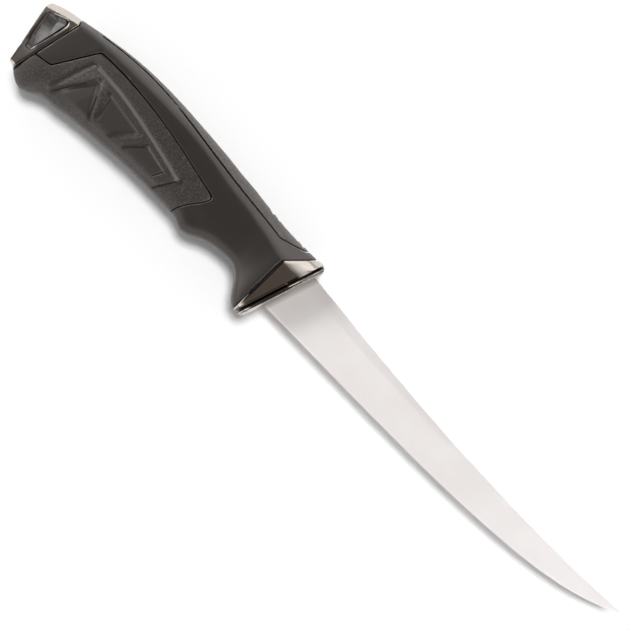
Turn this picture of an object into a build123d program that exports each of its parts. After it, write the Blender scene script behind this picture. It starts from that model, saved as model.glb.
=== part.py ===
from build123d import *
import math
import os

# A fillet knife lying on its side. While it is modelled, +X runs from the pommel to the tip, +Y from
# the edge to the spine and +Z out of the right side. X and Y start at the middle of the blade where it
# leaves the bolster, and Z at the mid-plane. All lengths are millimetres, all angles degrees.

# Blade
BLADE_LENGTH = 152.4
HEEL_HEIGHT = 18.9
BLADE_THICKNESS = 1.9
EDGE_BEVEL_HEIGHT = 0.85
EDGE_BEVEL_THICKNESS = 0.5

# Tang, the hidden tail of the blade, which starts at a shoulder just in front of the bolster
TANG_LENGTH = 111.0
TANG_THICKNESS = 1.8
SHOULDER_LEAD = 0.4
TANG_HEIGHT = 12.0
TANG_END_HEIGHT = 8.0
TANG_CLEARANCE = 0.05

# Handle, from the pommel's end to the blade
HANDLE_LENGTH = 122.2
HANDLE_DEPTH = 37.0
HANDLE_WIDTH = 20.8
GRIP_DEPTH = 2.2
STRIP_DEPTH = 1.8
SEAM_WIDTH = 0.28
JOINT_GAP = 0.35

# Bolster
FRONT_SLANT = 18.7
BOLSTER_WALL = 2.2
BOLSTER_FRONT_WALL = 3.4
LIP_THICKNESS = 1.6
LIP_EDGE_RADIUS = 0.7
GUARD_SPINE_RADIUS = 2.6
GUARD_BELLY_RADIUS = 2.2
GUARD_STAND_OFF = 0.2
GROOVE_WIDTH = 0.7
GROOVE_DEPTH = 0.7
SLOT_CLEARANCE = 0.15
HEEL_SEAT_DEPTH = 1.5

# Palm pads on the grip
PAD_RISE = 0.8
FACET_DEPTH = 0.8
FACET_FALL = 2.5

# Thumb notches in the spine strip
NOTCH_COUNT = 6
NOTCH_PITCH = 2.95
NOTCH_DEPTH = 0.7

# Pommel cap and its spigot
HOLE_RIM_CHAMFER = 0.6
RIM_ANGLE = 45.0
SPIGOT_OVERLAP = 9.0
SPIGOT_HEIGHT = 10.0
SPIGOT_THICKNESS = 8.0
PIN_DIAMETER = 3.0

# Rivets
RIVET_DIAMETER = 4.0
RIVET_HEAD_DIAMETER = 7.0
RIVET_HEAD_HEIGHT = 1.2
RIVET_LENGTH = 12.0
RIVET_CLEARANCE = 0.05

# Corner radii of the outlines seen from the side
GRIP_CORNER_RADIUS = 2.0
GRIP_TOE_RADIUS = 1.3
POMMEL_CORNER_RADIUS = 2.8
POMMEL_HEEL_RADIUS = 1.4
HOLE_CORNER_RADIUS = 1.0
HOLE_TOE_RADIUS = 0.6
PAD_CORNER_RADIUS = 1.5

# Cross sections of the handle: place along its length as a share of the length, then spine, side ridge
# and belly as shares of the depth, and the half width as a share of the width
STATION_SHARES = [
    (-1.024, 0.378, 0.286, -0.214, 0.346),
    (-0.976, 0.403, 0.327, -0.268, 0.375),
    (-0.940, 0.432, 0.357, -0.332, 0.399),
    (-0.905, 0.450, 0.384, -0.378, 0.418),
    (-0.871, 0.470, 0.405, -0.330, 0.433),
    (-0.831, 0.492, 0.416, -0.289, 0.447),
    (-0.758, 0.524, 0.422, -0.265, 0.476),
    (-0.677, 0.542, 0.422, -0.243, 0.495),
    (-0.581, 0.538, 0.416, -0.224, 0.500),
    (-0.484, 0.516, 0.400, -0.223, 0.481),
    (-0.403, 0.492, 0.365, -0.232, 0.452),
    (-0.351, 0.473, 0.330, -0.262, 0.433),
    (-0.319, 0.459, 0.305, -0.292, 0.423),
    (-0.286, 0.449, 0.286, -0.251, 0.409),
    (-0.242, 0.432, 0.268, -0.195, 0.399),
    (-0.194, 0.411, 0.238, -0.176, 0.394),
    (-0.157, 0.395, 0.211, -0.192, 0.401),
    (-0.129, 0.385, 0.192, -0.270, 0.416),
    (-0.105, 0.378, 0.168, -0.389, 0.433),
    (-0.085, 0.376, 0.152, -0.451, 0.452),
    (-0.056, 0.376, 0.142, -0.461, 0.466),
    (0.000, 0.378, 0.141, -0.462, 0.481),
    (0.048, 0.378, 0.141, -0.462, 0.481),
]
# The crown starts at the shoulder and the belly's round at the knee
SHOULDER_RISE_SHARE = 0.62
SHOULDER_WIDTH_SHARE = 0.68
KNEE_RISE_SHARE = 0.24
KNEE_WIDTH_SHARE = 0.90
SIDE_BULGE_SHARE = 1.01

# Where the guard's spine and belly lie at the bolster, as shares of the depth
GUARD_SPINE_SHARE = 0.378
GUARD_BELLY_SHARE = -0.462

# Outlines seen from the side, as shares of the handle's length and depth
BOLSTER_APEX_SHARES = (-0.068, 0.151)
BOLSTER_OUTLINE_SHARES = [
    BOLSTER_APEX_SHARES,
    (0.035, 0.493),
    (0.097, 0.493),
    (0.097, -0.595),
    (-0.075, -0.595),
    (-0.073, -0.284),
    (-0.069, 0.027),
]
POMMEL_END_SHARES = [(-1.000, 0.395), (-0.963, -0.300)]
POMMEL_JOINT_SHARES = [(-0.953, -0.376), (-0.895, 0.389), (-0.919, 0.476)]
POMMEL_BEYOND_SHARES = [(-1.200, 0.476), (-1.200, -0.376)]
HOLE_OUTLINE_SHARES = [
    (-0.976, 0.289),
    (-0.960, -0.062),
    (-0.948, -0.062),
    (-0.920, 0.351),
]
GRIP_HEEL_SHARES = [(-0.968, -0.084), (-0.873, -0.038)]
GRIP_TOP_SHARES = [
    (-0.798, 0.345),
    (-0.726, 0.347),
    (-0.656, 0.332),
    (-0.535, 0.278),
    (-0.401, 0.181),
]
GRIP_TOE_SHARES = (-0.319, 0.116)
GRIP_FRONT_SHARES = [
    (-0.326, 0.054),
    (-0.355, -0.073),
    (-0.378, -0.216),
    (-0.399, -0.378),
]
GRIP_UNDER_SHARES = [(-0.403, -0.514), (-0.968, -0.514)]
STRIP_SEAM_SHARES = [
    (-0.838, 0.470),
    (-0.766, 0.498),
    (-0.665, 0.512),
    (-0.565, 0.492),
    (-0.484, 0.457),
    (-0.403, 0.416),
    (-0.323, 0.376),
    (-0.242, 0.341),
    (-0.161, 0.308),
    (-0.117, 0.286),
]
STRIP_END_SHARES = [(-0.044, 0.354), (-0.030, 0.400)]
PAD_TOP_SHARES = [
    (-0.790, 0.245),
    (-0.745, 0.262),
    (-0.683, 0.240),
    (-0.602, 0.188),
    (-0.535, 0.136),
    (-0.468, 0.082),
    (-0.408, 0.022),
]
PAD_UNDER_SHARES = [(-0.446, -0.150), (-0.840, -0.160)]
FACET_OUTLINE_SHARES = [
    [(-0.746, 0.159), (-0.825, -0.196), (-0.702, -0.142)],
    [(-0.702, 0.135), (-0.575, 0.068), (-0.631, -0.122), (-0.688, -0.073)],
    [(-0.539, 0.043), (-0.460, -0.019), (-0.474, -0.124), (-0.581, -0.108)],
]
TANG_TOP_SHARES = [(-0.161, 0.249), (-0.403, 0.286), (-0.645, 0.290)]
NOTCH_LINE_SHARES = [(-0.194, 0.411), (-0.040, 0.377)]
NOTCH_FILL_SHARE = 0.8
RIVET_PLACE_SHARES = [(-0.780, 0.135), (-0.590, 0.130), (-0.425, 0.065)]

# The blade: place along its length, spine and edge as shares of the heel's height, thickness of the
# forging at the spine as a share of the blade's thickness, and how much of the height isn't ground.
# Where the forging is over full thickness, both sides are milled flat to it.
BLADE_STATION_SHARES = [
    (-0.059, 0.561, -0.487, 1.04, 0.40),
    (0.000, 0.505, -0.497, 1.04, 0.39),
    (0.098, 0.415, -0.516, 1.04, 0.37),
    (0.197, 0.317, -0.537, 1.04, 0.35),
    (0.295, 0.233, -0.556, 1.04, 0.32),
    (0.394, 0.159, -0.571, 1.03, 0.28),
    (0.492, 0.095, -0.579, 0.99, 0.23),
    (0.591, 0.048, -0.569, 0.92, 0.18),
    (0.689, 0.011, -0.537, 0.83, 0.14),
    (0.774, -0.008, -0.484, 0.73, 0.11),
    (0.840, -0.016, -0.413, 0.62, 0.10),
    (0.892, -0.013, -0.328, 0.52, 0.10),
    (0.938, -0.005, -0.220, 0.42, 0.10),
    (0.974, 0.003, -0.106, 0.32, 0.10),
    (1.000, 0.011, -0.001, 0.18, 0.10),
]
BEVEL_LIMIT_SHARE = 0.25

# How far cutting shapes run past what they cut
OVERRUN = 30.0


def handle_point(share):
    """A point of the side view from its shares of the handle's length and depth."""
    return Vector(share[0] * HANDLE_LENGTH, share[1] * HANDLE_DEPTH)


def handle_points(shares):
    return [handle_point(share) for share in shares]


def through(outline, reach=OVERRUN):
    """A flat outline carried through the knife from one side to the other."""
    return extrude(outline, amount=reach, both=True)


def polygon_face(points):
    return make_face(Polyline(*points, close=True))


def nearest_corner(outline, point):
    return outline.vertices().sort_by_distance(point)[0]


def rounded(outline, points, radius):
    """The outline with a radius at each of the given corners."""
    for point in points:
        outline = fillet(nearest_corner(outline, point), radius)
    return outline


def grown(outline, amount):
    return offset(outline, amount, kind=Kind.INTERSECTION)


def cross_section(place, spine, ridge, belly, half_width):
    """A face across the handle: crown, spine facets, crowned sides and a rounded belly."""
    shoulder = ridge + SHOULDER_RISE_SHARE * (spine - ridge)
    shoulder_out = SHOULDER_WIDTH_SHARE * half_width
    knee = belly + KNEE_RISE_SHARE * (ridge - belly)
    knee_out = KNEE_WIDTH_SHARE * half_width
    middle = (ridge + knee) / 2
    middle_out = SIDE_BULGE_SHARE * half_width
    right_facet = Line(place(ridge, half_width), place(shoulder, shoulder_out))
    left_facet = Line(place(shoulder, -shoulder_out), place(ridge, -half_width))
    crown = Spline(
        place(shoulder, shoulder_out),
        place(spine, 0),
        place(shoulder, -shoulder_out),
        tangents=[right_facet % 1, left_facet % 0],
    )
    left_side = ThreePointArc(place(ridge, -half_width), place(middle, -middle_out), place(knee, -knee_out))
    right_side = ThreePointArc(place(knee, knee_out), place(middle, middle_out), place(ridge, half_width))
    underside = Spline(
        place(knee, -knee_out),
        place(belly, 0),
        place(knee, knee_out),
        tangents=[left_side % 1, right_side % 0],
    )
    return make_face([right_facet, crown, left_facet, left_side, underside, right_side])


def handle_body(inset, swell=0):
    """The whole handle as one form, drawn in from its outside by the inset, its sides swollen."""
    sections = []
    for along, spine, ridge, belly, half_width in STATION_SHARES:
        x = along * HANDLE_LENGTH
        sections.append(
            cross_section(
                lambda across, out: Vector(x, across, out),
                spine * HANDLE_DEPTH - inset,
                ridge * HANDLE_DEPTH - inset / 2,
                belly * HANDLE_DEPTH + inset,
                half_width * HANDLE_WIDTH - inset + swell,
            )
        )
    return loft(sections)


def front_plane(behind=0):
    """The slanted plane of the lip's front face, or one behind it."""
    slant = math.radians(FRONT_SLANT)
    forward = Vector(math.cos(slant), -math.sin(slant))
    return Plane(
        origin=forward * -behind,
        x_dir=Vector(math.sin(slant), math.cos(slant)),
        z_dir=forward,
    )


def behind_front(behind):
    """All the space behind a plane parallel to the lip's front face."""
    block = Box(
        HANDLE_LENGTH + BLADE_LENGTH,
        HANDLE_LENGTH,
        HANDLE_LENGTH,
        align=(Align.CENTER, Align.CENTER, Align.MAX),
    )
    return front_plane(behind) * block


def half_space(side):
    """All the space on one side of the mid-plane."""
    outward = Align.MIN if side > 0 else Align.MAX
    reach = 2 * HANDLE_LENGTH + OVERRUN
    return Box(reach, reach, OVERRUN, align=(Align.CENTER, Align.CENTER, outward))


def bolster_outline():
    return polygon_face(handle_points(BOLSTER_OUTLINE_SHARES))


def pommel_outline():
    end = handle_points(POMMEL_END_SHARES)
    outline = polygon_face(end + handle_points(POMMEL_JOINT_SHARES))
    outline = rounded(outline, end[:1], POMMEL_CORNER_RADIUS)
    return rounded(outline, end[1:], POMMEL_HEEL_RADIUS)


def beyond_pommel_joint(gap):
    """Everything on the pommel's side of its joint with the handle, and the gap of the joint."""
    outline = polygon_face(handle_points(POMMEL_JOINT_SHARES + POMMEL_BEYOND_SHARES))
    return through(grown(outline, gap))


def hole_outline():
    corners = handle_points(HOLE_OUTLINE_SHARES)
    outline = polygon_face(corners)
    outline = rounded(outline, corners[1:3], HOLE_TOE_RADIUS)
    return rounded(outline, [corners[0], corners[3]], HOLE_CORNER_RADIUS)


def grip_outline(growth=0):
    """The grip seen from the side, let out all round by the growth."""
    back_up, front_up, forward = (Vector(x * growth, y * growth) for x, y in [(-1, 1), (1, 1), (1, 0)])
    heel = [point + back_up for point in handle_points(GRIP_HEEL_SHARES)]
    top = [point + back_up for point in handle_points(GRIP_TOP_SHARES)]
    toe = handle_point(GRIP_TOE_SHARES) + front_up
    front = [point + forward for point in handle_points(GRIP_FRONT_SHARES)]
    under = [point + forward for point in handle_points(GRIP_UNDER_SHARES)]
    outline = make_face(
        [
            Polyline(under[1], *heel, top[0]),
            Spline(*top, toe),
            Spline(toe, *front),
            Polyline(front[-1], *under),
        ]
    )
    outline = rounded(outline, [heel[1], top[0]], GRIP_CORNER_RADIUS)
    return rounded(outline, [toe], GRIP_TOE_RADIUS)


def strip_outline(growth=0):
    """The spine strip seen from the side, its seam and front end let out by the growth."""
    seam = [point - Vector(0, growth) for point in handle_points(STRIP_SEAM_SHARES)]
    end = [point + Vector(growth, -growth) for point in handle_points(STRIP_END_SHARES)]
    above = [point + Vector(0, OVERRUN) for point in (end[-1], seam[0])]
    return make_face([Spline(*seam), Polyline(seam[-1], *end, *above, seam[0])])


def pad_outline():
    top = handle_points(PAD_TOP_SHARES)
    under = handle_points(PAD_UNDER_SHARES)
    outline = make_face([Spline(*top), Polyline(top[-1], *under, top[0])])
    return rounded(outline, [top[0], top[-1]], PAD_CORNER_RADIUS)


def tang_outline(growth=0):
    """The tang seen from the side, which follows the bend of the handle, let out by the growth."""
    top = handle_points(TANG_TOP_SHARES)
    end_top = Vector(-TANG_LENGTH - growth, spigot_middle() + TANG_END_HEIGHT / 2)
    spine_side = [Vector(LIP_THICKNESS, TANG_HEIGHT / 2), *top, end_top]
    edge_side = [Vector(point.X, point.Y - TANG_HEIGHT) for point in spine_side[:-1]]
    edge_side.append(end_top - Vector(0, TANG_END_HEIGHT))
    upper = [point + Vector(0, growth) for point in spine_side]
    lower = [point - Vector(0, growth) for point in edge_side]
    return make_face(
        [
            Spline(*upper),
            Line(upper[-1], lower[-1]),
            Spline(*reversed(lower)),
            Line(lower[0], upper[0]),
        ]
    )


def blade_section(along, spine, edge, thickness, flat):
    """The blade's section: flats below the spine, ground faces, and the two bevels of the edge."""
    x = along * BLADE_LENGTH
    spine_y = spine * HEEL_HEIGHT
    edge_y = edge * HEEL_HEIGHT
    height = spine_y - edge_y
    half = thickness * BLADE_THICKNESS / 2
    bevel = min(EDGE_BEVEL_HEIGHT, BEVEL_LIMIT_SHARE * height)
    bevel_half = min(EDGE_BEVEL_THICKNESS / 2, BEVEL_LIMIT_SHARE * 2 * half)
    flat_y = spine_y - flat * height
    return polygon_face(
        [
            (x, spine_y, half),
            (x, flat_y, half),
            (x, edge_y + bevel, bevel_half),
            (x, edge_y, 0),
            (x, edge_y + bevel, -bevel_half),
            (x, flat_y, -half),
            (x, spine_y, -half),
        ]
    )


def half_width_at(x):
    """The handle's half width at a place along it, between the two nearest stations."""
    stations = [(station[0] * HANDLE_LENGTH, station[4] * HANDLE_WIDTH) for station in STATION_SHARES]
    for (rear, rear_width), (front, front_width) in zip(stations, stations[1:]):
        if rear <= x <= front:
            return rear_width + (front_width - rear_width) * (x - rear) / (front - rear)
    return stations[-1][1]


def rivet_places():
    return [Pos(point.X, point.Y, 0) for point in handle_points(RIVET_PLACE_SHARES)]


def spigot_middle():
    """The height of the spigot's middle, which is the middle of the tang's end."""
    return handle_point(TANG_TOP_SHARES[0]).Y - TANG_HEIGHT + TANG_END_HEIGHT / 2


def pin_place():
    return Pos(-TANG_LENGTH + SPIGOT_OVERLAP / 2, spigot_middle(), 0)


def spigot(clearance=0):
    """The block that reaches from the cap's wall over the end of the tang."""
    rear = handle_point(HOLE_OUTLINE_SHARES[2]).X
    front = -TANG_LENGTH + SPIGOT_OVERLAP + clearance
    block = Box(
        front - rear,
        SPIGOT_HEIGHT + 2 * clearance,
        SPIGOT_THICKNESS + 2 * clearance,
        align=(Align.MIN, Align.CENTER, Align.CENTER),
    )
    return Pos(rear, spigot_middle(), 0) * block


def tang_pocket(clearance):
    return through(tang_outline(clearance), TANG_THICKNESS / 2 + clearance)


def rivet(clearance=0, head_reach=0):
    """A rivet standing through the handle, its heads lengthened outward by the reach."""
    half = RIVET_LENGTH / 2
    shank = Cylinder(RIVET_DIAMETER / 2 + clearance, RIVET_LENGTH)
    head = Pos(0, 0, half - RIVET_HEAD_HEIGHT) * Cylinder(
        RIVET_HEAD_DIAMETER / 2 + clearance,
        RIVET_HEAD_HEIGHT + head_reach,
        align=(Align.CENTER, Align.CENTER, Align.MIN),
    )
    return shank + head + mirror(head, Plane.XY)


def make_blade():
    body = loft([blade_section(*station) for station in BLADE_STATION_SHARES])
    body &= Box(2 * BLADE_LENGTH + OVERRUN, 2 * BLADE_LENGTH, BLADE_THICKNESS)
    body -= behind_front(HEEL_SEAT_DEPTH)
    body -= behind_front(-SHOULDER_LEAD) - Box(OVERRUN, OVERRUN, TANG_THICKNESS)
    knife = body + through(tang_outline(), TANG_THICKNESS / 2)
    for place in rivet_places():
        knife -= place * Cylinder(RIVET_DIAMETER / 2 + RIVET_CLEARANCE, OVERRUN)
    return knife - pin_place() * Cylinder(PIN_DIAMETER / 2 + RIVET_CLEARANCE, OVERRUN)


def guard_outline():
    """The bolster and its lip seen from the side, with round front corners."""
    lean = math.tan(math.radians(FRONT_SLANT))
    spine = GUARD_SPINE_SHARE * HANDLE_DEPTH + GUARD_STAND_OFF
    belly = GUARD_BELLY_SHARE * HANDLE_DEPTH - GUARD_STAND_OFF
    corners = [Vector(spine * lean, spine), Vector(belly * lean, belly)]
    outline = polygon_face([*corners, Vector(-OVERRUN, belly), Vector(-OVERRUN, spine)])
    outline = rounded(outline, corners[:1], GUARD_SPINE_RADIUS)
    return rounded(outline, corners[1:], GUARD_BELLY_RADIUS)


def make_bolster(outer, neck, hollow):
    casting = outer & through(bolster_outline()) & behind_front(0)
    front_face = casting.faces().sort_by(Axis((0, 0, 0), front_plane().z_dir))[-1]
    casting = fillet(front_face.edges(), LIP_EDGE_RADIUS)
    casting &= through(guard_outline())
    casting -= (behind_front(LIP_THICKNESS) - behind_front(LIP_THICKNESS + GROOVE_WIDTH)) - neck
    casting -= hollow & behind_front(BOLSTER_FRONT_WALL)
    heel_seat = front_plane(HEEL_SEAT_DEPTH) * Box(
        HEEL_HEIGHT / math.cos(math.radians(FRONT_SLANT)) + 2 * SLOT_CLEARANCE,
        TANG_THICKNESS + 2 * SLOT_CLEARANCE,
        HEEL_SEAT_DEPTH + OVERRUN,
        align=(Align.CENTER, Align.CENTER, Align.MIN),
    )
    return casting - tang_pocket(SLOT_CLEARANCE) - heel_seat


def make_core(outer, grip_bed, strip_bed, nose):
    """Both halves of the core still in one, with the places of all that it holds."""
    core = outer - beyond_pommel_joint(JOINT_GAP) - through(grown(bolster_outline(), JOINT_GAP))
    core -= through(grip_outline(SEAM_WIDTH)) - grip_bed
    core -= through(strip_outline(SEAM_WIDTH)) - strip_bed
    apex = handle_point(BOLSTER_APEX_SHARES)
    nose_block = Pos(apex.X - 2 * BOLSTER_WALL, 0, 0) * Box(
        OVERRUN, 2 * OVERRUN, OVERRUN, align=(Align.MIN, Align.CENTER, Align.CENTER)
    )
    core += nose & nose_block & behind_front(BOLSTER_FRONT_WALL + SLOT_CLEARANCE)
    core -= tang_pocket(TANG_CLEARANCE)
    core -= spigot(TANG_CLEARANCE)
    for place in rivet_places():
        core -= place * rivet(RIVET_CLEARANCE, OVERRUN)
    return core


def facet_cut(shares, side):
    """A shallow flat cut in a palm pad, deepest at its upper line, that runs out above the belly."""
    points = handle_points(shares)
    top = max(point.Y for point in points)
    middle = sum(point.X for point in points) / len(points)
    floor = half_width_at(middle) + PAD_RISE - FACET_DEPTH
    block = Box(OVERRUN * 2, OVERRUN * 2, OVERRUN, align=(Align.CENTER, Align.CENTER, Align.MIN))
    cut = through(polygon_face(points)) & Pos(middle, top, floor) * Rot(FACET_FALL, 0, 0) * block
    return cut if side > 0 else mirror(cut, Plane.XY)


def make_grip(outer, raised, grip_bed):
    grip = (outer & through(grip_outline())) + (raised & through(pad_outline() & grip_outline()))
    grip -= grip_bed
    grip -= beyond_pommel_joint(JOINT_GAP)
    for shares in FACET_OUTLINE_SHARES:
        for side in (1, -1):
            grip -= facet_cut(shares, side)
    return grip


def make_strip(outer, strip_bed):
    strip = (outer & through(strip_outline())) - strip_bed
    first, last = handle_points(NOTCH_LINE_SHARES)
    along = (last - first).normalized()
    above = Vector(0, OVERRUN)
    for index in range(NOTCH_COUNT):
        start = first + along * (index * NOTCH_PITCH)
        stop = start + along * NOTCH_PITCH * NOTCH_FILL_SHARE
        foot = stop - Vector(0, NOTCH_DEPTH)
        strip -= through(polygon_face([start, foot, stop + above, start + above]))
    return strip


def hole_rim(side):
    """A flared cut that bevels the rim of the lanyard hole on one side."""
    middle = handle_point(HOLE_OUTLINE_SHARES[0]).X / 2 + handle_point(HOLE_OUTLINE_SHARES[3]).X / 2
    floor = half_width_at(middle) - HOLE_RIM_CHAMFER
    rim = extrude(Pos(0, 0, floor) * hole_outline(), amount=2 * HOLE_RIM_CHAMFER, taper=-RIM_ANGLE)
    return rim if side > 0 else mirror(rim, Plane.XY)


def make_pommel(outer):
    cap = (outer & through(pommel_outline())) + spigot()
    cap -= through(hole_outline())
    for side in (1, -1):
        cap -= hole_rim(side)
    cap -= tang_pocket(TANG_CLEARANCE)
    return cap - pin_place() * Cylinder(PIN_DIAMETER / 2, OVERRUN)


outer = handle_body(0)
grip_bed = handle_body(GRIP_DEPTH)
strip_bed = handle_body(STRIP_DEPTH)
neck = handle_body(GROOVE_DEPTH)
hollow = handle_body(BOLSTER_WALL)
nose = handle_body(BOLSTER_WALL + SLOT_CLEARANCE)
raised = handle_body(0, PAD_RISE)
core = make_core(outer, grip_bed, strip_bed, nose)

PIECES = {
    "blade": make_blade(),
    "bolster": make_bolster(outer, neck, hollow),
    "core_right": core & half_space(1),
    "core_left": core & half_space(-1),
    "belly_grip": make_grip(outer, raised, grip_bed),
    "spine_strip": make_strip(outer, strip_bed),
    "pommel_cap": make_pommel(outer),
    "tang_rivets": Compound([place * rivet().solid() for place in rivet_places()]),
    "pommel_pin": pin_place() * Cylinder(PIN_DIAMETER / 2, SPIGOT_THICKNESS),
}

# The knife is moved so that it lies on the ground with its origin under the middle of its box
box = Compound([solid for piece in PIECES.values() for solid in piece.solids()]).bounding_box()
to_ground = Pos(-box.center().X, -box.center().Y, -box.min.Z)

os.makedirs("parts", exist_ok=True)
for name, piece in PIECES.items():
    export_step(to_ground * piece, os.path.join("parts", name + ".step"))
print("origin in the modelling frame", box.center().X, box.center().Y, box.min.Z)
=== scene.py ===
import math

import bpy
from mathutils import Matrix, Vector


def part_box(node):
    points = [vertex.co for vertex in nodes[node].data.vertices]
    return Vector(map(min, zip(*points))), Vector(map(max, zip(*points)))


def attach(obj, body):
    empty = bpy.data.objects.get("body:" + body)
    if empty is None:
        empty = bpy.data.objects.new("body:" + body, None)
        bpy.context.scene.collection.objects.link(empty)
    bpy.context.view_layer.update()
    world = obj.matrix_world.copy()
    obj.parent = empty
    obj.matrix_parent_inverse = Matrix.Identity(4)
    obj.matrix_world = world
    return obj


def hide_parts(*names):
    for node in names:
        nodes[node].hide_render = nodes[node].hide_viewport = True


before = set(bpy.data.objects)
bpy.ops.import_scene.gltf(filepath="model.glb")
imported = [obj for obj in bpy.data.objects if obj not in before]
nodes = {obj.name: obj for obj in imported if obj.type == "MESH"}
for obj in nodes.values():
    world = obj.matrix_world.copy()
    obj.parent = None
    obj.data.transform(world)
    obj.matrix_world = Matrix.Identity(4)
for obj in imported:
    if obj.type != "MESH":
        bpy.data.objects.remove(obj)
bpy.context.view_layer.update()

# A fillet knife lying on its side. Lengths are metres, except where a comment says millimetres.
MM = 0.001
BLADE_LENGTH = 152.4 * MM
# How far the blade's edge hangs below the middle of its heel
EDGE_DROP = 10.943 * MM
# How far the bolster's front leans, in degrees
FRONT_SLANT = 18.7

# The knife's own frame starts at the middle of the blade where it leaves the bolster
blade_low, blade_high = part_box("blade")
HEEL_X = blade_high.x - BLADE_LENGTH
HEEL_Y = blade_low.y + EDGE_DROP
MID_Z = (blade_low.z + blade_high.z) / 2

# Working on meshes

# How near two corners of a mesh lie before they become one
MERGE_DISTANCE = 0.002 * MM
# How far one pass of smoothing moves a mesh, over a whole piece and on a part of it
SOFTENING = 0.5
EASING = 0.9
# A vertex is on an outer side where more than this share of its normal points outwards
OUTWARD = 0.2


def place(x, y, z=0):
    """A point given in millimetres in the knife's own frame."""
    return Vector((HEEL_X + x * MM, HEEL_Y + y * MM, MID_Z + z * MM))


def only(piece):
    """Select this piece and nothing else."""
    bpy.ops.object.select_all(action="DESELECT")
    piece.select_set(True)
    bpy.context.view_layer.objects.active = piece


def edit_all(piece):
    """Open a piece in edit mode with its whole mesh selected."""
    only(piece)
    bpy.ops.object.mode_set(mode="EDIT")
    bpy.ops.mesh.select_all(action="SELECT")


def finish_modifier(piece, kind, **settings):
    """Add a modifier to a piece and apply it."""
    only(piece)
    bpy.ops.object.modifier_add(type=kind)
    modifier = piece.modifiers[-1]
    for name, value in settings.items():
        setattr(modifier, name, value)
    bpy.ops.object.modifier_apply(modifier=modifier.name)


def working_copy(node, name):
    """A merged copy of a CAD node, to be worked on further."""
    piece = bpy.data.objects.new(name, nodes[node].data.copy())
    bpy.context.scene.collection.objects.link(piece)
    edit_all(piece)
    bpy.ops.mesh.remove_doubles(threshold=MERGE_DISTANCE)
    bpy.ops.object.mode_set(mode="OBJECT")
    return piece


def soften(piece, grain, passes):
    """Remesh a piece finely and ease its edges, as a mould or a polishing wheel does."""
    finish_modifier(piece, "REMESH", mode="VOXEL", voxel_size=grain, adaptivity=0)
    finish_modifier(piece, "SMOOTH", factor=SOFTENING, iterations=passes)
    only(piece)
    bpy.ops.object.shade_smooth()


def knife_place(point):
    """A point's place along and across the knife in its own frame, in millimetres."""
    return (point.x - HEEL_X) / MM, (point.y - HEEL_Y) / MM


def distance_to_line(line, x, y):
    """How far a place lies from a line through the given points, seen from the side."""
    nearest = math.inf
    for (x0, y0), (x1, y1) in zip(line, line[1:]):
        run_x, run_y = x1 - x0, y1 - y0
        share = ((x - x0) * run_x + (y - y0) * run_y) / (run_x**2 + run_y**2)
        share = min(max(share, 0), 1)
        nearest = min(nearest, math.hypot(x - x0 - share * run_x, y - y0 - share * run_y))
    return nearest


def distance_to_lines(lines, x, y):
    """How far a place lies from the nearest of several lines."""
    return min(distance_to_line(line, x, y) for line in lines)


def line_height(line, x):
    """How high a line from the rear to the front lies at a place along the knife."""
    for (x0, y0), (x1, y1) in zip(line, line[1:]):
        if x0 <= x <= x1:
            return y0 + (y1 - y0) * (x - x0) / (x1 - x0)
    return None


def inside(outline, x, y):
    """Whether a place lies inside an outline that runs clockwise."""
    corners = zip(outline, outline[1:] + outline[:1])
    return all((x1 - x0) * (y - y0) <= (y1 - y0) * (x - x0) for (x0, y0), (x1, y1) in corners)


def fading(distance, full, gone):
    """One up to the full distance, falling to zero where it is gone."""
    return min(max((gone - distance) / (gone - full), 0), 1)


def rising(distance, none, full):
    """Zero up to the first distance, growing to one at the full one."""
    return min(max((distance - none) / (full - none), 0), 1)


def band(distance, none, full, end, gone):
    """One from the full distance to the end, falling to zero on both sides."""
    return min(rising(distance, none, full), fading(distance, end, gone))


def outer_vertices(piece):
    """The vertices on the outer sides of a piece, each with the side of the knife it is on."""
    outward = [vertex.normal.z for vertex in piece.data.vertices]
    for vertex, normal_z in zip(piece.data.vertices, outward):
        side = math.copysign(1, vertex.co.z - MID_Z)
        if normal_z * side > OUTWARD:
            yield vertex, side


def press(piece, depth):
    """Press the outer sides of a piece inwards by the depth at each place, in millimetres."""
    for vertex, side in outer_vertices(piece):
        vertex.co.z -= side * depth(*knife_place(vertex.co)) * MM
    piece.data.update()


def ease(piece, passes, weight):
    """Smooth a piece only where the weight of a place on it is above zero."""
    group = piece.vertex_groups.new(name="eased")
    for vertex in piece.data.vertices:
        share = weight(*knife_place(vertex.co))
        if share > 0:
            group.add([vertex.index], share, "REPLACE")
    finish_modifier(piece, "SMOOTH", factor=EASING, iterations=passes, vertex_group=group.name)
    piece.vertex_groups.clear()


def mark(piece, name, weight):
    """Keep a weight on a piece as an attribute that its finish reads."""
    layer = piece.data.attributes.new(name, "FLOAT", "POINT")
    weights = [weight(*knife_place(vertex.co)) for vertex in piece.data.vertices]
    layer.data.foreach_set("value", weights)


def stand_for(piece, node, finish):
    """The piece takes the place of a CAD node and gets its finish."""
    piece.data.materials.clear()
    piece.data.materials.append(finish)
    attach(piece, "root")
    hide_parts(node)


# Finishes

# The sockets of a colour Mix node: its two inputs and its output
MIX_FIRST = 6
MIX_SECOND = 7
MIX_RESULT = 2

# The part of a noise's range, or of the mesh's pointiness, over which it counts
GRAIN_SPAN = (0.3, 0.7)
CLOUD_SPAN = (0.35, 0.65)
FLECK_SPAN = (0.44, 0.68)
WORN_AND_HIGHLIGHT_SPAN = (0.52, 0.60)

# Both brushed metals
BRUSHED_DETAIL = 3
METAL_RELIEF_DEPTH = 0.01 * MM

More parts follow.
